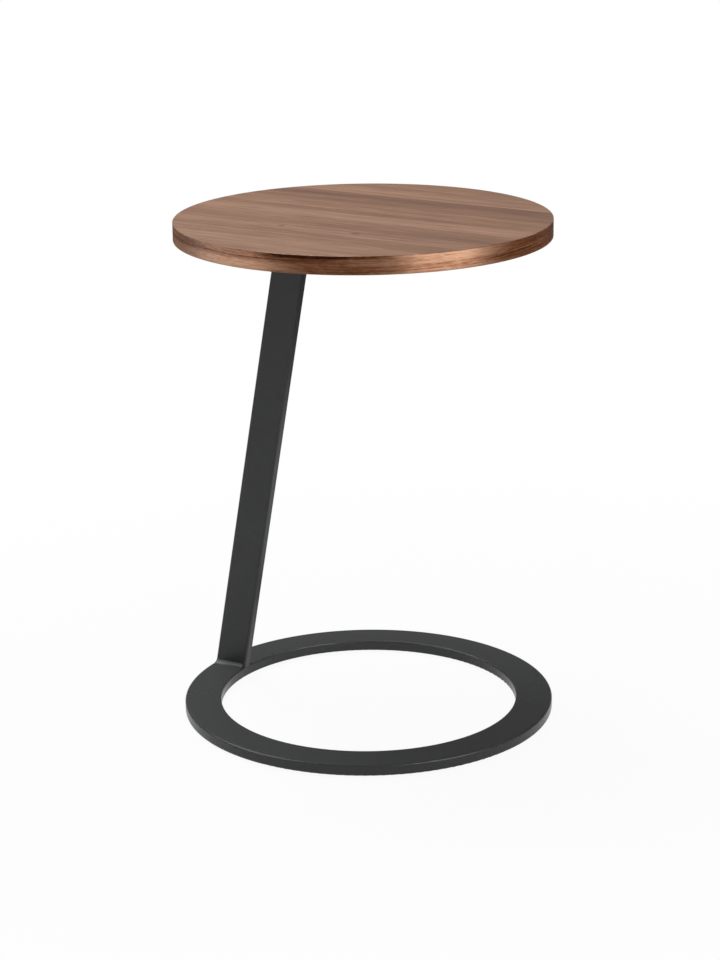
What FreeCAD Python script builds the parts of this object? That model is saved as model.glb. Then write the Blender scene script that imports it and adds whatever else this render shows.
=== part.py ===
"""C-shaped side table: a round veneered top on a leaning flat-bar post that is welded to a flat base ring.

Units are millimetres. The origin is on the floor under the centre of the base ring, +Z is up, and +X runs
from the post towards the open side of the C. The table is symmetric about the XZ plane.
"""
import FreeCAD
import Part
import math
import os

# Overall
TABLE_HEIGHT = 550.0

# Top
TOP_DIAMETER = 400.0
CORE_THICKNESS = 18.0
VENEER_THICKNESS = 0.6
EDGE_BAND_THICKNESS = 1.0
TOP_EDGE_ROUND = 0.5

# Base ring, cut from plate
RING_OUTER_DIAMETER = 407.0
RING_WIDTH = 40.0
RING_THICKNESS = 12.0
RING_EDGE_ROUND = 2.0

# Post, a flat bar cut level at both ends, as wide on the ring as the ring is
POST_THICKNESS = 12.0
POST_LEAN_DEGREES = 10.75
POST_EDGE_ROUND = 2.5

# Weld beads, hollow fillets along the bar's two wide faces; the ones on the ring are dressed to flat ramps
FOOT_WELD_REACH = 9.0
FOOT_WELD_RISE = 4.0
HEAD_WELD_LEG = 3.0
WELD_THROAT_SHARE = 0.38

# Mounting plate under the top
PLATE_LENGTH = 160.0
PLATE_WIDTH = 100.0
PLATE_THICKNESS = 5.0
PLATE_CORNER_RADIUS = 12.0
PLATE_HOLE_INSET = 16.0
PLATE_HOLE_CLEARANCE = 0.3

# Screws, washers and threaded inserts
SCREW_DIAMETER = 6.0
SCREW_HEAD_DIAMETER = 10.5
SCREW_HEAD_HEIGHT = 3.3
SCREW_SOCKET_ACROSS_FLATS = 4.0
SCREW_SOCKET_DEPTH = 2.0
SCREW_TIP_CLEARANCE = 3.0
WASHER_RIM = 3.0
WASHER_THICKNESS = 1.6
INSERT_WALL = 1.5
INSERT_CLEARANCE = 0.05
THREAD_CLEARANCE = 0.05
WOOD_ABOVE_INSERT = 4.0
INSERT_END_CLEARANCE = 1.0

# Floor pads
PAD_COUNT = 6
PAD_DIAMETER = 18.0
PAD_THICKNESS = 2.0
PAD_EDGE_ROUND = 0.5

UP = FreeCAD.Vector(0, 0, 1)

# Levels, from the floor up
ring_bottom_z = PAD_THICKNESS
ring_top_z = ring_bottom_z + RING_THICKNESS
underside_z = TABLE_HEIGHT - CORE_THICKNESS - 2 * VENEER_THICKNESS
plate_bottom_z = underside_z - PLATE_THICKNESS
core_bottom_z = underside_z + VENEER_THICKNESS
core_top_z = core_bottom_z + CORE_THICKNESS

# Radii
top_radius = TOP_DIAMETER / 2
core_radius = top_radius - EDGE_BAND_THICKNESS
ring_outer_radius = RING_OUTER_DIAMETER / 2
ring_inner_radius = ring_outer_radius - RING_WIDTH
ring_middle_radius = ring_outer_radius - RING_WIDTH / 2

# Edge rounds, held back where the steel is too thin for them
ring_ease = min(RING_EDGE_ROUND, 0.4 * RING_THICKNESS)
post_ease = min(POST_EDGE_ROUND, 0.4 * POST_THICKNESS)

# The post's outer edge starts flush with the ring's outer edge and leans towards +X
lean = math.tan(math.radians(POST_LEAN_DEGREES))
foot_outer_x = -ring_outer_radius
head_outer_x = foot_outer_x + lean * (plate_bottom_z - ring_top_z)
head_middle_x = head_outer_x + RING_WIDTH / 2

# The screws go up through washer, plate and underside veneer into the inserts
screw_radius = SCREW_DIAMETER / 2
insert_bore_radius = screw_radius + THREAD_CLEARANCE
insert_radius = insert_bore_radius + INSERT_WALL
insert_hole_radius = insert_radius + INSERT_CLEARANCE
insert_hole_depth = CORE_THICKNESS + VENEER_THICKNESS - WOOD_ABOVE_INSERT
insert_length = insert_hole_depth - INSERT_END_CLEARANCE
washer_bore_radius = screw_radius + PLATE_HOLE_CLEARANCE
washer_radius = washer_bore_radius + WASHER_RIM
screw_reach = WASHER_THICKNESS + PLATE_THICKNESS + insert_length - SCREW_TIP_CLEARANCE
screw_seat_z = plate_bottom_z - WASHER_THICKNESS


def point(x, y, z):
    return FreeCAD.Vector(x, y, z)


def disc(radius, height, bottom_z, x=0.0, y=0.0):
    """An upright cylinder standing at bottom_z."""
    return Part.makeCylinder(radius, height, point(x, y, bottom_z), UP)


def tube(outer_radius, inner_radius, height, bottom_z, x=0.0, y=0.0):
    """An upright pipe standing at bottom_z."""
    return disc(outer_radius, height, bottom_z, x, y).cut(disc(inner_radius, height, bottom_z, x, y))


def prism(corners, direction):
    """A closed flat outline pushed along a vector."""
    outline = Part.makePolygon(corners + [corners[0]])
    return Part.Face(outline).extrude(direction)


def level_edges(shape, z):
    """The edges of a shape that lie at one level."""
    near = 1e-6
    boxes = [(edge, edge.BoundBox) for edge in shape.Edges]
    return [edge for edge, box in boxes if abs(box.ZMin - z) < near and abs(box.ZMax - z) < near]


def screw_places():
    """Plan positions of the four screws, inset from the plate's corners."""
    along = PLATE_LENGTH / 2 - PLATE_HOLE_INSET
    across = PLATE_WIDTH / 2 - PLATE_HOLE_INSET
    return [(head_middle_x + side * along, end * across) for side in (-1, 1) for end in (-1, 1)]


def lean_slab(low_z, high_z, half_width):
    """The bar's leaning side outline between two levels, pushed out to both sides of the XZ plane."""
    low_x = foot_outer_x + lean * (low_z - ring_top_z)
    high_x = foot_outer_x + lean * (high_z - ring_top_z)
    corners = [
        point(low_x, -half_width, low_z),
        point(low_x + RING_WIDTH, -half_width, low_z),
        point(high_x + RING_WIDTH, -half_width, high_z),
        point(high_x, -half_width, high_z),
    ]
    return prism(corners, point(0, 2 * half_width, 0))


def make_top_core():
    """Round core board with four blind holes for the inserts, open at the underside."""
    core = disc(core_radius, CORE_THICKNESS, core_bottom_z)
    for x, y in screw_places():
        core = core.cut(disc(insert_hole_radius, insert_hole_depth, underside_z, x, y))
    return core


def make_top_veneer():
    """Face veneer over core and edge band, with an eased upper edge."""
    veneer = disc(top_radius, VENEER_THICKNESS, core_top_z)
    ease = min(TOP_EDGE_ROUND, 0.8 * VENEER_THICKNESS)
    return veneer.makeFillet(ease, level_edges(veneer, TABLE_HEIGHT))


def make_underside_veneer():
    """Balancing veneer, with an eased lower edge and holes where the inserts pass."""
    veneer = disc(top_radius, VENEER_THICKNESS, underside_z)
    ease = min(TOP_EDGE_ROUND, 0.8 * VENEER_THICKNESS)
    veneer = veneer.makeFillet(ease, level_edges(veneer, underside_z))
    for x, y in screw_places():
        veneer = veneer.cut(disc(insert_hole_radius, VENEER_THICKNESS, underside_z, x, y))
    return veneer


def make_edge_band():
    return tube(top_radius, core_radius, CORE_THICKNESS, core_bottom_z)


def make_base_ring():
    """Flat ring with eased edges, left square under the post, where the weld is ground flush."""
    square_ring = tube(ring_outer_radius, ring_inner_radius, RING_THICKNESS, ring_bottom_z)
    eased_edges = level_edges(square_ring, ring_bottom_z) + level_edges(square_ring, ring_top_z)
    eased_ring = square_ring.makeFillet(ring_ease, eased_edges)
    seat_corner = point(-ring_outer_radius, -POST_THICKNESS / 2, ring_bottom_z + RING_THICKNESS / 2)
    seat_block = Part.makeBox(ring_outer_radius, POST_THICKNESS, RING_THICKNESS / 2, seat_corner)
    return eased_ring.fuse(square_ring.common(seat_block)).removeSplitter()


def make_post():
    """Leaning flat bar from the ring to the mounting plate, with its four long edges eased."""
    bar = lean_slab(ring_top_z, plate_bottom_z, POST_THICKNESS / 2)
    half_height = (plate_bottom_z - ring_top_z) / 2
    long_edges = [edge for edge in bar.Edges if edge.BoundBox.ZLength > half_height]
    return bar.makeFillet(post_ease, long_edges)


def weld_bead(reach, climb, seat_z, rise, side):
    """A hollow fillet from a level face to the bar, also round its eased edges; rise is +1 up or -1 down."""
    face_y = side * POST_THICKNESS / 2
    toe_y = face_y + side * reach
    tip_z = seat_z + rise * climb
    start_x = min(foot_outer_x, head_outer_x) - reach
    run = max(foot_outer_x, head_outer_x) + RING_WIDTH + reach - start_x
    heart = point(start_x, 0, seat_z)
    toe = point(start_x, toe_y, seat_z)
    tip = point(start_x, face_y, tip_z)
    heart_tip = point(start_x, 0, tip_z)
    throat_y = face_y + side * WELD_THROAT_SHARE * reach
    throat = point(start_x, throat_y, seat_z + rise * WELD_THROAT_SHARE * climb)
    outline = Part.Wire([
        Part.LineSegment(heart, toe).toShape(),
        Part.Arc(toe, throat, tip).toShape(),
        Part.LineSegment(tip, heart_tip).toShape(),
        Part.LineSegment(heart_tip, heart).toShape(),
    ])
    bead = Part.Face(outline).extrude(point(run, 0, 0))
    bar_length = lean_slab(min(seat_z, tip_z), max(seat_z, tip_z), POST_THICKNESS / 2 + reach)
    return bead.common(bar_length).cut(make_post())


def make_foot_weld(side):
    """Bead on the ring, ground back to the ring's two rounded edges."""
    flat_outer = ring_outer_radius - ring_ease
    flat_inner = ring_inner_radius + ring_ease
    flat_band = tube(flat_outer, flat_inner, FOOT_WELD_RISE, ring_top_z)
    return weld_bead(FOOT_WELD_REACH, FOOT_WELD_RISE, ring_top_z, 1, side).common(flat_band)


def make_head_weld(side):
    return weld_bead(HEAD_WELD_LEG, HEAD_WELD_LEG, plate_bottom_z, -1, side)


def make_mounting_plate():
    """Flat plate centred on the post's head, with rounded corners and four clearance holes."""
    corner = point(head_middle_x - PLATE_LENGTH / 2, -PLATE_WIDTH / 2, plate_bottom_z)
    plate = Part.makeBox(PLATE_LENGTH, PLATE_WIDTH, PLATE_THICKNESS, corner)
    upright_edges = [edge for edge in plate.Edges if edge.BoundBox.ZLength > PLATE_THICKNESS / 2]
    plate = plate.makeFillet(PLATE_CORNER_RADIUS, upright_edges)
    for x, y in screw_places():
        plate = plate.cut(disc(washer_bore_radius, PLATE_THICKNESS, plate_bottom_z, x, y))
    return plate


def make_insert(x, y):
    return tube(insert_radius, insert_bore_radius, insert_length, underside_z, x, y)


def make_washer(x, y):
    return tube(washer_radius, washer_bore_radius, WASHER_THICKNESS, screw_seat_z, x, y)


def make_screw(x, y):
    """Button-head screw pointing up, with a hexagon socket in the head's underside."""
    head_bottom_z = screw_seat_z - SCREW_HEAD_HEIGHT
    shank = disc(screw_radius, screw_reach, screw_seat_z, x, y)
    head = disc(SCREW_HEAD_DIAMETER / 2, SCREW_HEAD_HEIGHT, head_bottom_z, x, y)
    crown = min(0.8 * SCREW_HEAD_HEIGHT, 0.3 * SCREW_HEAD_DIAMETER)
    head = head.makeFillet(crown, level_edges(head, head_bottom_z))
    corner_radius = SCREW_SOCKET_ACROSS_FLATS / 2 / math.cos(math.pi / 6)
    corners = []
    for step in range(6):
        turn = math.pi / 3 * step
        corner_x = x + corner_radius * math.cos(turn)
        corner_y = y + corner_radius * math.sin(turn)
        corners.append(point(corner_x, corner_y, head_bottom_z))
    socket = prism(corners, point(0, 0, SCREW_SOCKET_DEPTH))
    return shank.fuse(head).removeSplitter().cut(socket)


def make_foot_pad(number):
    """Stick-on pad under the middle of the ring's flat; the pads are evenly spaced, clear of the post."""
    turn = math.pi + 2 * math.pi * (number + 0.5) / PAD_COUNT
    x = ring_middle_radius * math.cos(turn)
    y = ring_middle_radius * math.sin(turn)
    pad = disc(PAD_DIAMETER / 2, PAD_THICKNESS, 0.0, x, y)
    return pad.makeFillet(min(PAD_EDGE_ROUND, 0.4 * PAD_THICKNESS), level_edges(pad, 0.0))


nodes = {
    "top_core": make_top_core(),
    "top_veneer": make_top_veneer(),
    "underside_veneer": make_underside_veneer(),
    "edge_band": make_edge_band(),
    "mounting_plate": make_mounting_plate(),
    "post": make_post(),
    "base_ring": make_base_ring(),
    "foot_weld_front": make_foot_weld(-1),
    "foot_weld_back": make_foot_weld(1),
    "head_weld_front": make_head_weld(-1),
    "head_weld_back": make_head_weld(1),
    "threaded_inserts": Part.makeCompound([make_insert(x, y) for x, y in screw_places()]),
    "plate_washers": Part.makeCompound([make_washer(x, y) for x, y in screw_places()]),
    "plate_screws": Part.makeCompound([make_screw(x, y) for x, y in screw_places()]),
}
for number in range(PAD_COUNT):
    nodes[f"foot_pad_{number + 1}"] = make_foot_pad(number)

os.makedirs("parts", exist_ok=True)
for name, shape in nodes.items():
    shape.exportStep(f"parts/{name}.step")
    print(name, "solids", len(shape.Solids), "valid", shape.isValid(), "volume", round(shape.Volume, 2))
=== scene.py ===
"""Looks of the C-shaped side table: walnut veneer and satin charcoal powder coat, in a plain white studio.

Metres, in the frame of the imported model: +Z up, +X from the post towards the open side of the C.
"""
import bpy
import math
from mathutils import Matrix, Vector


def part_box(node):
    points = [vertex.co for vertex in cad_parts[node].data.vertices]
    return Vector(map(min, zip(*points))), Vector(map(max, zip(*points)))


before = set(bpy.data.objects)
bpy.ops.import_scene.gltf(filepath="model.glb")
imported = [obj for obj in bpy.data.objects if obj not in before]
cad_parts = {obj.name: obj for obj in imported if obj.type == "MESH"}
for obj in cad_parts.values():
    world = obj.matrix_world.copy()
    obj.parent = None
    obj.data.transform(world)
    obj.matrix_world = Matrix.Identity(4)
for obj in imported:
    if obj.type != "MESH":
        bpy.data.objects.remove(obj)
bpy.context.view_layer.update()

# Sizes read from the frame
top_low, top_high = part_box("top_veneer")
underside_low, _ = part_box("underside_veneer")
TOP_RADIUS = (top_high.y - top_low.y) / 2
TOP_HEIGHT = top_high.z
UNDERSIDE_HEIGHT = underside_low.z
MM_PER_METRE = 1000.0

# The photograph's longer side and focal length in pixels, and the sensor in millimetres
IMAGE_LONG_SIDE = 960
FOCAL_PIXELS = 2502.7
SENSOR_WIDTH = 36.0

# The camera that matches the photograph's view, with its angles in radians
VIEW_AZIMUTH = math.radians(32.06)
CAMERA_DISTANCE = 2.5965
CAMERA_HEIGHT = 1.0496
CAMERA_PITCH = 0.29471
CAMERA_YAW = -0.00252
CAMERA_ROLL = -0.01271

# The backdrop is white up to one angle above the horizon and grey from another
WHITE_TO = math.radians(0.5)
GREY_FROM = math.radians(4)
SKY_GREY = 0.10

# The floor: half its side, its own grey, and the share of white that it shows near the table and far from it
FLOOR_HALF = 12.0
FLOOR_GREY = 0.8
NEAR_DISTANCE = 0.25
FAR_DISTANCE = 1.2
NEAR_WHITE = 0.94
FAR_WHITE = 1.0

# The white paper under the table, from its middle, as the camera sees it, and the dark floor round it
PAPER_LEFT = 2.60
PAPER_RIGHT = 0.50
PAPER_FRONT = 1.40
PAPER_BACK = 1.20
DARK_FLOOR_LIFT = 0.001
DARK_FLOOR_GREYS = (0.02, 0.05)

# Walnut, in linear colours from dark to light, and the tint of its gloss from a dark tone to a light one
FACE_TONES = ((0.154, 0.085, 0.061, 1.0), (0.250, 0.142, 0.093, 1.0), (0.388, 0.231, 0.164, 1.0))
EDGE_TONES = ((0.024, 0.004, 0.001, 1.0), (0.212, 0.064, 0.018, 1.0), (0.440, 0.212, 0.112, 1.0))
DARK_GLOSS = (0.14, 0.03, 0.01, 1.0)
LIGHT_GLOSS = (1.0, 0.62, 0.42, 1.0)
DARK_GLOSS_TO = 0.15
LIGHT_GLOSS_FROM = 0.85

# Satin lacquer: its roughness on the face and the edge band, and how far that varies from fibre to fibre
FACE_ROUGHNESS = 0.40
EDGE_ROUGHNESS = 0.45
FIBRE_ROUGHNESS = 0.05

# Pores: where their noise starts and ends, how far they darken the wood, and the depth of pores and fibres
PORE_FROM = 0.66
PORE_TO = 0.76
PORE_DARKNESS = 0.45
GRAIN_DEPTH = 0.0002

# Bands of the face's grain: millimetres across it from the middle, and the tone there from 0 dark to 1 light
FACE_BANDS = (
    (-200, 0.62), (-182, 0.76), (-165, 0.60), (-146, 0.74), (-130, 0.57), (-97, 0.55), (-80, 0.78),
    (-70, 0.58), (-57, 0.33), (-44, 0.43), (-28, 0.58), (-14, 0.74), (4, 0.70), (18, 0.40), (30, 0.56),
    (40, 0.42), (55, 0.58), (69, 0.28), (80, 0.35), (97, 0.15), (112, 0.34), (118, 0.74), (127, 0.55),
    (137, 0.74), (146, 0.52), (200, 0.50),
)

# How far the bands wander across the grain, in metres
BAND_WANDER = 0.016

# Small dark flecks in the face: the middle's x and y, half the length and half the width, in millimetres,
# and the change of tone in their middle
FACE_FLECKS = ((40, -79, 7, 3.0), (-50, -79, 5, 2.6))
FLECK_CHANGE = -0.8

# Streaks in the edge band: from and to in degrees round the row's axis, the height in millimetres above
# the underside at either end, half the width in millimetres, and the change of tone. Most are streaks of the
# grain; two carry painted highlight and one is painted shade, each marked below
EDGE_STREAKS_AND_PAINTED_LIGHT = (
    (-165, -118, 15.6, 15.9, 3.6, 0.14),
    (-112, -84, 16.0, 16.2, 3.6, 0.10),
    (-140, -112, 4.0, 4.4, 4.0, 0.12),
    (-160, -70, 11.2, 13.2, 0.7, -0.22),
    (-146, -72, 4.6, 5.2, 4.8, 0.27),
    (-94, -44, 17.0, 17.8, 2.2, -0.40),
    (-74, -22, 2.0, 5.4, 0.7, -0.18),
    (-26, 8, 5.4, 9.6, 0.7, -0.26),
    (-2, 50, 9.6, 9.0, 0.7, -0.22),
    (-16, 34, 9.2, 11.6, 0.4, 0.34),
    # Light zone at the front right: partly paler wood, partly a painted highlight
    (-68, -8, 14.0, 14.0, 5.5, 0.34),
    # Painted highlight: the lower part of the same light zone
    (-62, -10, 3.6, 3.6, 4.6, 0.12),
    (-36, 2, 15.5, 15.0, 3.2, 0.12),
    (-22, 40, 15.5, 14.5, 3.0, -0.05),
    # Painted shade: darkens the band's whole height at its right end, where it reflects the white floor at a
    # grazing angle
    (8, 60, 9.6, 9.6, 9.0, -0.16),
    (30, 95, 13.0, 12.0, 4.5, 0.20),
    (60, 135, 6.0, 9.0, 0.8, -0.24),
    (100, 172, 14.0, 12.0, 2.6, -0.18),
)

# Degrees over which a streak fades at its ends, and the shares of half its width where it is full and gone
STREAK_FADE = 12
STREAK_FULL = 0.65
STREAK_GONE = 1.2

# The other materials' linear colours
COAT_DARK = (0.0670, 0.0690, 0.0705, 1.0)
COAT_LIGHT = (0.0700, 0.0720, 0.0735, 1.0)
OXIDE_BLACK = (0.05, 0.05, 0.052, 1.0)
ZINC_GREY = (0.58, 0.56, 0.5, 1.0)
FIBRE_DARK = (0.24, 0.15, 0.085, 1.0)
FIBRE_LIGHT = (0.36, 0.25, 0.15, 1.0)
PAD_GREYS = (0.012, 0.045)

# The nodes of the welded and coated frame
STEEL_NODES = (
    "base_ring", "post", "mounting_plate",
    "foot_weld_front", "foot_weld_back", "head_weld_front", "head_weld_back",
)


def grey(value):
    return (value, value, value, 1.0)


class Graph:
    """A short way to write a material's nodes: a call adds its nodes and returns the output of the last."""

    def __init__(self, tree):
        self.tree = tree

    def add(self, kind, **settings):
        node = self.tree.nodes.new(kind)
        for name, value in settings.items():
            setattr(node, name, value)
        return node

    def feed(self, socket, value):
        """Links an output to the socket, or sets the socket to a plain value."""
        if isinstance(value, bpy.types.NodeSocket):
            self.tree.links.new(value, socket)
        else:
            socket.default_value = value

    def math(self, operation, first, second=0.0, third=0.0):
        node = self.add("ShaderNodeMath", operation=operation)
        for socket, value in zip(node.inputs, (first, second, third)):
            self.feed(socket, value)
        return node.outputs[0]

    def total(self, *values):
        """The sum of several numbers."""
        whole = values[0]
        for value in values[1:]:
            whole = self.math("ADD", whole, value)
        return whole

    def squares(self, first, second):
        """The sum of two squares."""
        return self.total(self.math("MULTIPLY", first, first), self.math("MULTIPLY", second, second))

    def span(self, value, low, high, to_low=0.0, to_high=1.0, smooth=False):
        """The value moved from one range to another, and held at its ends."""
        node = self.add("ShaderNodeMapRange")
        node.interpolation_type = "SMOOTHSTEP" if smooth else "LINEAR"
        for socket, number in zip(node.inputs, (value, low, high, to_low, to_high)):
            self.feed(socket, number)
        return node.outputs[0]

    def swing(self, value, amount, reach=0.25):
        """A number within reach of 0.5 as a change of tone of at most the amount, darker or lighter."""
        return self.span(value, 0.5 - reach, 0.5 + reach, -amount, amount)

    def mix(self, factor, first, second):
        """A colour between two, by the factor."""
        node = self.add("ShaderNodeMix", data_type="RGBA")
        self.feed(node.inputs[0], factor)
        self.feed(node.inputs[6], first)
        self.feed(node.inputs[7], second)
        return node.outputs[2]

    def where(self):
        """The point on the surface, in the frame's metres."""
        return self.add("ShaderNodeTexCoord").outputs["Object"]

    def split(self, vector):
        node = self.add("ShaderNodeSeparateXYZ")
        self.feed(node.inputs[0], vector)
        return tuple(node.outputs)

    def noise(self, vector, scale, detail=2.0, roughness=0.5):
        node = self.add("ShaderNodeTexNoise")
        self.feed(node.inputs["Vector"], vector)
        node.inputs["Scale"].default_value = scale
        node.inputs["Detail"].default_value = detail
        node.inputs["Roughness"].default_value = roughness
        return node.outputs["Fac"]

    def grain(self, u, v, along, across, seed, detail=2.0, roughness=0.5):
        """Noise drawn out along u, with cells per metre along and across it; the seed picks a pattern."""
        stretched = self.add("ShaderNodeCombineXYZ")
        self.feed(stretched.inputs[0], self.math("MULTIPLY", u, along))
        self.feed(stretched.inputs[1], self.math("MULTIPLY", v, across))
        self.feed(stretched.inputs[2], seed)
        return self.noise(stretched.outputs[0], 1.0, detail, roughness)

    def profile(self, value, stops):
        """A smooth curve through given stops, each a place and the height there."""
        low = stops[0][0]
        high = stops[-1][0]
        node = self.add("ShaderNodeValToRGB")
        self.feed(node.inputs[0], self.span(value, low, high))
        ramp = node.color_ramp
        ramp.interpolation = "EASE"
        for place, height in stops[1:-1]:
            ramp.elements.new((place - low) / (high - low)).color = grey(height)
        ramp.elements[0].color = grey(stops[0][1])
        ramp.elements[-1].color = grey(stops[-1][1])
        return node.outputs[0]

    def bump(self, height, strength, distance, under=None):
        """A normal for a bumpy surface, on top of another bump where one is given."""
        node = self.add("ShaderNodeBump")
        node.inputs["Strength"].default_value = strength
        node.inputs["Distance"].default_value = distance
        self.feed(node.inputs["Height"], height)
        if under is not None:
            self.feed(node.inputs["Normal"], under)
        return node.outputs[0]


def new_material(name, roughness, specular=0.5):
    """A principled material with a plain roughness and specular level, its graph and its shader."""
    material = bpy.data.materials.new(name)
    material.use_nodes = True
    shader = material.node_tree.nodes["Principled BSDF"]
    shader.inputs["Roughness"].default_value = roughness
    shader.inputs["Specular IOR Level"].default_value = specular
    return material, Graph(material.node_tree), shader


def fine_grain(g, u, v):
    """Streaks, fibres and pores of wood that runs along u, in metres; each is a number about 0.5."""
    streaks = g.grain(u, v, along=4.0, across=190.0, seed=7.7, detail=3.0, roughness=0.6)
    fibres = g.grain(u, v, along=22.0, across=1000.0, seed=1.3, roughness=0.6)
    pores = g.grain(u, v, along=170.0, across=2400.0, seed=4.9, detail=1.0)
    return streaks, fibres, pores


def finish_wood(g, shader, tone, tones, fibres, pores, roughness):
    """Colour by tone from 0 dark to 1 light, pores that are dark and sunk, and satin lacquer."""
    dark, middle, light = tones
    darker = g.mix(g.span(tone, 0.0, 0.5), dark, middle)
    colour = g.mix(g.span(tone, 0.5, 1.0), darker, light)
    pore = g.span(pores, PORE_FROM, PORE_TO)
    g.feed(shader.inputs["Base Color"], g.mix(g.math("MULTIPLY", pore, PORE_DARKNESS), colour, dark))
    gloss = g.span(tone, DARK_GLOSS_TO, LIGHT_GLOSS_FROM)
    g.feed(shader.inputs["Specular Tint"], g.mix(gloss, DARK_GLOSS, LIGHT_GLOSS))
    rougher = roughness + FIBRE_ROUGHNESS
    smoother = roughness - FIBRE_ROUGHNESS
    g.feed(shader.inputs["Roughness"], g.span(fibres, 0.2, 0.8, rougher, smoother))
    fibre_bump = g.bump(fibres, strength=0.15, distance=GRAIN_DEPTH)
    solid = g.math("SUBTRACT", 1.0, pore)
    pore_bump = g.bump(solid, strength=0.1, distance=GRAIN_DEPTH, under=fibre_bump)
    g.feed(shader.inputs["Normal"], pore_bump)


def fleck(g, x, y, middle_x, middle_y, half_length, half_width):
    """One small dark spot along the grain, 1 in its middle and 0 outside; all in millimetres."""
    along = g.math("DIVIDE", g.math("SUBTRACT", x, middle_x), half_length)
    across = g.math("DIVIDE", g.math("SUBTRACT", y, middle_y), half_width)
    return g.span(g.squares(along, across), 0.1, 1.0, 1.0, 0.0, smooth=True)


def walnut_face(name):
    """Straight-grained walnut veneer that runs along X, in the bands set above."""
    material, g, shader = new_material(name, FACE_ROUGHNESS, specular=0.40)
    x, y, _ = g.split(g.where())
    wander = g.grain(x, y, along=2.2, across=7.0, seed=0.0)
    bent = g.math("MULTIPLY_ADD", g.math("SUBTRACT", wander, 0.5), BAND_WANDER, y)
    bands = g.profile(g.math("MULTIPLY", bent, MM_PER_METRE), FACE_BANDS)
    fade = g.grain(x, y, along=4.0, across=16.0, seed=2.6)
    banded = g.math("MULTIPLY", g.math("SUBTRACT", bands, 0.5), g.span(fade, 0.3, 0.7, 0.6, 1.25))
    streaks, fibres, pores = fine_grain(g, x, bent)
    dashes = g.grain(x, bent, along=25.0, across=380.0, seed=5.2, roughness=0.55)
    fine = g.total(g.swing(streaks, 0.26), g.swing(dashes, 0.20), g.swing(fibres, 0.20, reach=0.3))
    tone = g.total(banded, fine, 0.5)
    x_mm = g.math("MULTIPLY", x, MM_PER_METRE)
    y_mm = g.math("MULTIPLY", y, MM_PER_METRE)
    for settings in FACE_FLECKS:
        tone = g.math("MULTIPLY_ADD", fleck(g, x_mm, y_mm, *settings), FLECK_CHANGE, tone)
    finish_wood(g, shader, tone, FACE_TONES, fibres, pores, FACE_ROUGHNESS)
    return material


def streak(g, angle, height, start, end, start_height, end_height, half_width, change):
    """The change of tone of one soft line in the edge band, drawn between two angles."""
    middle = g.span(angle, start, end, start_height, end_height)
    off = g.math("ABSOLUTE", g.math("SUBTRACT", height, middle))
    line = g.span(off, STREAK_FULL * half_width, STREAK_GONE * half_width, change, 0.0, smooth=True)
    fade_in = g.span(angle, start, start + STREAK_FADE, smooth=True)
    fade_out = g.span(angle, end - STREAK_FADE, end, 1.0, 0.0, smooth=True)
    return g.math("MULTIPLY", g.math("MULTIPLY", line, fade_in), fade_out)


def walnut_edge(name):
    """Walnut edge band whose grain runs round the rim, with listed streaks, a few of them painted highlight
    and painted shade.
    """
    material, g, shader = new_material(name, EDGE_ROUGHNESS, specular=1.0)
    shader.inputs["IOR"].default_value = 1.8
    shader.inputs["Anisotropic"].default_value = 0.9
    shader.inputs["Anisotropic Rotation"].default_value = 0.25
    round_rim = g.add("ShaderNodeTangent", direction_type="RADIAL", axis="Z")
    g.feed(shader.inputs["Tangent"], round_rim.outputs[0])
    x, y, z = g.split(g.where())
    turn = g.math("ARCTAN2", y, x)
    run = g.math("MULTIPLY", turn, TOP_RADIUS)
    angle = g.math("DEGREES", turn)
    height = g.math("MULTIPLY", g.math("SUBTRACT", z, UNDERSIDE_HEIGHT), MM_PER_METRE)
    streaks, fibres, pores = fine_grain(g, run, z)
    broad = g.grain(run, z, along=3.0, across=70.0, seed=3.1)
    specks = g.grain(run, z, along=120.0, across=900.0, seed=8.4, roughness=0.6)
    tone = g.span(broad, 0.3, 0.7, 0.40, 0.56)
    fine = g.total(g.swing(streaks, 0.10), g.swing(fibres, 0.20, reach=0.3), g.swing(specks, 0.20))
    tone = g.total(tone, fine)
    for settings in EDGE_STREAKS_AND_PAINTED_LIGHT:
        tone = g.math("ADD", tone, streak(g, angle, height, *settings))
    finish_wood(g, shader, tone, EDGE_TONES, fibres, pores, EDGE_ROUGHNESS)
    return material


def powder_coat(name):
    """Satin charcoal powder coat with a fine orange-peel surface."""
    material, g, shader = new_material(name, roughness=0.28, specular=0.20)
    where = g.where()
    cloud = g.noise(where, scale=18.0, detail=3.0)
    peel = g.noise(where, scale=1500.0)
    g.feed(shader.inputs["Base Color"], g.mix(cloud, COAT_DARK, COAT_LIGHT))
    g.feed(shader.inputs["Roughness"], g.span(cloud, 0.3, 0.7, 0.27, 0.30))
    g.feed(shader.inputs["Normal"], g.bump(peel, strength=0.12, distance=0.0002))
    return material


def plain_metal(name, colour, roughness):
    """Plated or oxidised fastener metal with fine mottling."""
    material, g, shader = new_material(name, roughness)
    shader.inputs["Metallic"].default_value = 1.0
    mottle = g.noise(g.where(), scale=900.0, detail=3.0)
    darker = tuple(0.75 * part for part in colour[:3]) + (1.0,)
    g.feed(shader.inputs["Base Color"], g.mix(mottle, darker, colour))
    g.feed(shader.inputs["Roughness"], g.span(mottle, 0.3, 0.7, roughness - 0.06, roughness + 0.08))
    return material


def felt(name):
    """Dense dark pad with a fibrous surface."""
    material, g, shader = new_material(name, roughness=0.95, specular=0.2)
    fibre = g.noise(g.where(), scale=2600.0, detail=4.0, roughness=0.7)
    dark, light = PAD_GREYS
    g.feed(shader.inputs["Base Color"], g.mix(fibre, grey(dark), grey(light)))
    g.feed(shader.inputs["Normal"], g.bump(fibre, strength=0.6, distance=0.0004))
    return material


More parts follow.
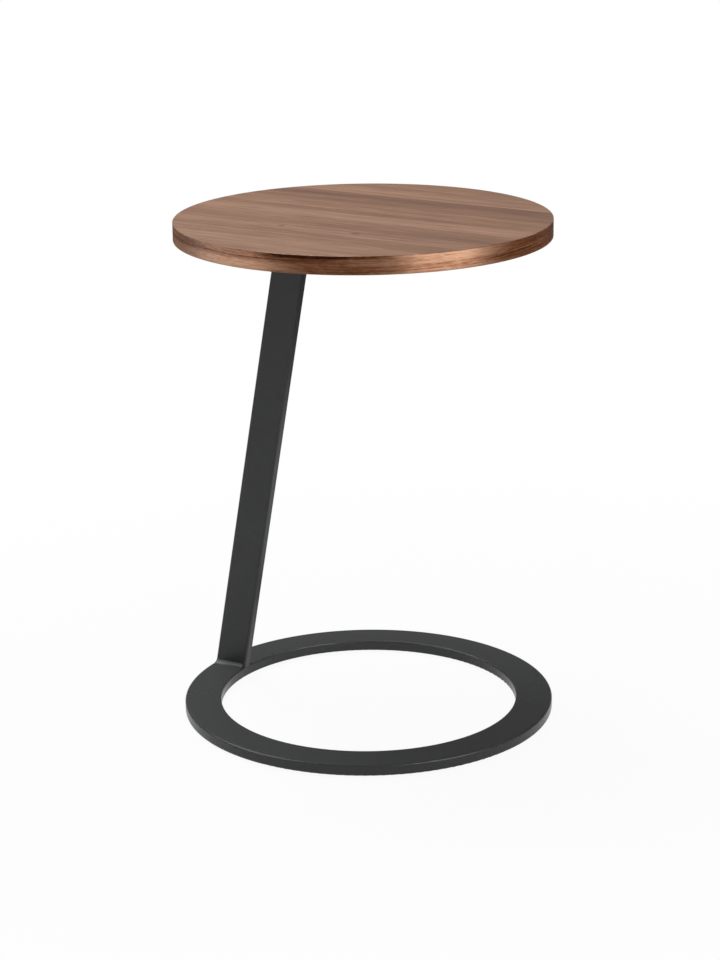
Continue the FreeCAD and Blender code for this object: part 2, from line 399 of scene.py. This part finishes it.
def fibreboard(name):
    """Pressed wood fibre of the core."""
    material, g, shader = new_material(name, roughness=0.85, specular=0.3)
    fibre = g.noise(g.where(), scale=700.0, detail=4.0, roughness=0.65)
    g.feed(shader.inputs["Base Color"], g.mix(fibre, FIBRE_DARK, FIBRE_LIGHT))
    g.feed(shader.inputs["Normal"], g.bump(fibre, strength=0.3, distance=0.0003))
    return material


def dress(nodes, material):
    """Gives nodes of the frame their material."""
    for node in nodes:
        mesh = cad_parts[node].data
        mesh.materials.clear()
        mesh.materials.append(material)


def add_object(name, data):
    """Puts a new object with this data in the scene."""
    made = bpy.data.objects.new(name, data)
    bpy.context.scene.collection.objects.link(made)
    return made


def add_sheet(name, points, faces, material):
    """Puts a flat sheet of these points and faces in the scene."""
    mesh = bpy.data.meshes.new(name)
    mesh.from_pydata(points, [], faces)
    mesh.materials.append(material)
    return add_object(name, mesh)


def floor_white(name):
    """White to the camera and in reflections, with a soft share of the table's shadow near it."""
    material = bpy.data.materials.new(name)
    material.use_nodes = True
    nodes = material.node_tree.nodes
    nodes.remove(nodes["Principled BSDF"])
    g = Graph(material.node_tree)
    diffuse = g.add("ShaderNodeBsdfDiffuse")
    diffuse.inputs["Color"].default_value = grey(FLOOR_GREY)
    glow = g.add("ShaderNodeEmission")
    path = g.add("ShaderNodeLightPath")
    seen = g.math("MAXIMUM", path.outputs["Is Camera Ray"], path.outputs["Is Glossy Ray"])
    seen = g.math("MAXIMUM", seen, path.outputs["Is Transmission Ray"])
    x, y, _ = g.split(g.where())
    reach = g.math("SQRT", g.squares(x, y))
    white = g.span(reach, NEAR_DISTANCE, FAR_DISTANCE, NEAR_WHITE, FAR_WHITE, smooth=True)
    blend = g.add("ShaderNodeMixShader")
    g.feed(blend.inputs[0], g.math("MULTIPLY", seen, white))
    g.feed(blend.inputs[1], diffuse.outputs[0])
    g.feed(blend.inputs[2], glow.outputs[0])
    g.feed(nodes["Material Output"].inputs["Surface"], blend.outputs[0])
    return material


def make_floor():
    """A wide pale floor."""
    half = FLOOR_HALF
    corners = [(-half, -half, 0), (half, -half, 0), (half, half, 0), (-half, half, 0)]
    floor = add_sheet("floor", corners, [(0, 1, 2, 3)], floor_white("floor_white"))


def dark_concrete(name):
    """Matt dark floor with fine speckles."""
    material, g, shader = new_material(name, roughness=0.95, specular=0.1)
    dark, light = DARK_FLOOR_GREYS
    speckle = g.noise(g.where(), scale=300.0)
    g.feed(shader.inputs["Base Color"], g.mix(speckle, grey(dark), grey(light)))
    return material


def make_dark_floor():
    """The dark studio floor round the white paper, which only shows in reflections."""
    to_right = Vector((math.cos(VIEW_AZIMUTH), math.sin(VIEW_AZIMUTH), 0))
    to_back = Vector((-math.sin(VIEW_AZIMUTH), math.cos(VIEW_AZIMUTH), 0))
    lift = Vector((0, 0, DARK_FLOOR_LIFT))
    paper = (PAPER_LEFT, PAPER_RIGHT, PAPER_FRONT, PAPER_BACK)
    outside = (FLOOR_HALF, FLOOR_HALF, FLOOR_HALF, FLOOR_HALF)
    corners = []
    for left, right, front, back in (paper, outside):
        corners += [(-left, -front), (right, -front), (right, back), (-left, back)]
    points = [across * to_right + along * to_back + lift for across, along in corners]
    sides = [(side, (side + 1) % 4, (side + 1) % 4 + 4, side + 4) for side in range(4)]
    dark_floor = add_sheet("dark_floor", points, sides, dark_concrete("dark_floor"))
    dark_floor.visible_camera = False
    dark_floor.visible_diffuse = False
    dark_floor.visible_shadow = False


def make_world():
    """A white sweep at the horizon that falls off to an even grey studio above it."""
    world = bpy.data.worlds.new("studio")
    bpy.context.scene.world = world
    world.use_nodes = True
    g = Graph(world.node_tree)
    background = world.node_tree.nodes["Background"]
    background.inputs["Color"].default_value = grey(1.0)
    _, _, rise = g.split(g.add("ShaderNodeTexCoord").outputs["Generated"])
    strength = g.span(rise, math.sin(WHITE_TO), math.sin(GREY_FROM), 1.0, SKY_GREY, smooth=True)
    g.feed(background.inputs["Strength"], strength)


def make_softbox(name, turn, distance, height, width, tall, watts, aim):
    """A soft box aimed at a height on the table's axis; turn is degrees from the camera, to the right."""
    light = bpy.data.lights.new(name, "AREA")
    light.shape = "RECTANGLE"
    light.size = width
    light.size_y = tall
    light.energy = watts
    lamp = add_object(name, light)
    angle = VIEW_AZIMUTH + math.radians(turn)
    lamp.location = (distance * math.sin(angle), -distance * math.cos(angle), height)
    beam = Vector((0, 0, aim)) - lamp.location
    lamp.rotation_euler = beam.to_track_quat("-Z", "Y").to_euler()
    lamp.visible_camera = False
    return lamp


def make_fill(name, **settings):
    """A soft box that doesn't show in reflections."""
    make_softbox(name, **settings).visible_glossy = False


def make_card(name, **settings):
    """A bright card that only shows in reflections and doesn't light the table otherwise."""
    make_softbox(name, **settings).visible_diffuse = False


def make_camera():
    """The photograph's view: looking down at the table, with a slight yaw and roll."""
    camera = add_object("camera", bpy.data.cameras.new("camera"))
    camera.data.sensor_width = SENSOR_WIDTH
    camera.data.lens = FOCAL_PIXELS / IMAGE_LONG_SIDE * SENSOR_WIDTH
    flat = math.cos(CAMERA_PITCH)
    forward = Vector((math.sin(CAMERA_YAW) * flat, math.cos(CAMERA_YAW) * flat, -math.sin(CAMERA_PITCH)))
    level_right = Vector((math.cos(CAMERA_YAW), -math.sin(CAMERA_YAW), 0))
    level_up = level_right.cross(forward)
    right = math.cos(CAMERA_ROLL) * level_right + math.sin(CAMERA_ROLL) * level_up
    up = math.cos(CAMERA_ROLL) * level_up - math.sin(CAMERA_ROLL) * level_right
    turn = Matrix((right, up, -forward)).transposed().to_4x4()
    shift = Matrix.Translation((0, -CAMERA_DISTANCE, CAMERA_HEIGHT))
    camera.matrix_world = Matrix.Rotation(VIEW_AZIMUTH, 4, "Z") @ shift @ turn
    bpy.context.scene.camera = camera


dress(("top_veneer", "underside_veneer"), walnut_face("walnut_face"))
dress(("edge_band",), walnut_edge("walnut_edge"))
dress(STEEL_NODES, powder_coat("charcoal_powder_coat"))
dress(("plate_screws", "plate_washers"), plain_metal("black_oxide", OXIDE_BLACK, roughness=0.4))
dress(("threaded_inserts",), plain_metal("zinc_plate", ZINC_GREY, roughness=0.35))
dress([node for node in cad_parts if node.startswith("foot_pad_")], felt("pad_felt"))
dress(("top_core",), fibreboard("core_fibre"))

make_floor()
make_dark_floor()
make_world()
make_softbox("overhead", turn=-133, distance=0.8, height=2.0, width=1.0, tall=1.8, watts=35, aim=0.3)
make_fill("front_fill", turn=50, distance=0.9, height=2.5, width=2.4, tall=2.4, watts=14, aim=0.2)
make_softbox("right_box", turn=65, distance=1.6, height=1.3, width=1.5, tall=1.5, watts=7, aim=0.4)
make_card("right_card", turn=46, distance=1.3, height=0.95, width=1.05, tall=0.6, watts=27, aim=TOP_HEIGHT)
make_card("left_card", turn=-82, distance=1.3, height=0.95, width=1.3, tall=0.6, watts=16.5, aim=TOP_HEIGHT)
make_camera()
bpy.context.scene.view_settings.view_transform = "Standard"
